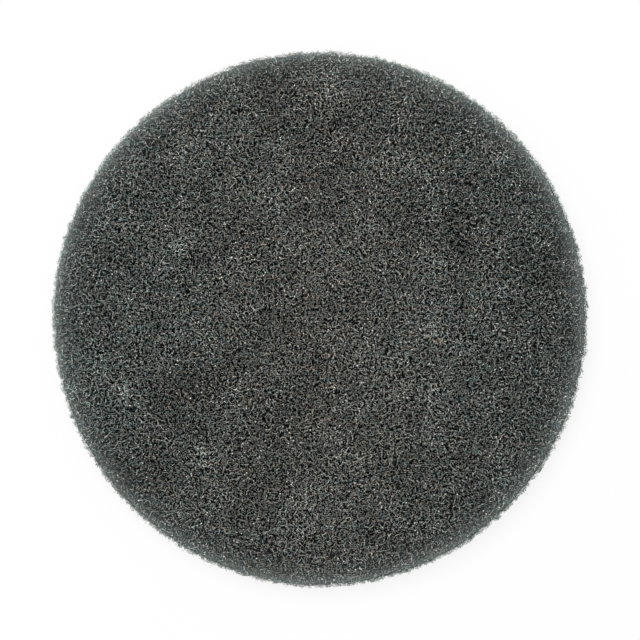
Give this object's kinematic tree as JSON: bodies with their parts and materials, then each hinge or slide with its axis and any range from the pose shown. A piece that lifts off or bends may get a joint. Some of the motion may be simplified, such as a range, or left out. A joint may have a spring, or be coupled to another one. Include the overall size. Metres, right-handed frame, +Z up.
{
  "type": "non-woven hook and loop disc",
  "caption": "Round pad of open, curled dark grey fibre web with a die-cut edge. Either face presses onto a hook-covered backing pad.",
  "frame": {"origin": "middle of the flat underside, which is the face the disc lies on or grips the backing pad with", "axes": "+Z up through the thickness, along the disc's axis; X and Y lie in the underside"},
  "size_m": [0.15, 0.15, 0.0083],
  "materials": {
    "bonded_web": "matte open fibre web"
  },
  "bodies": {
    "root": {"web_disc": "bonded_web"}
  },
  "joints": []
}
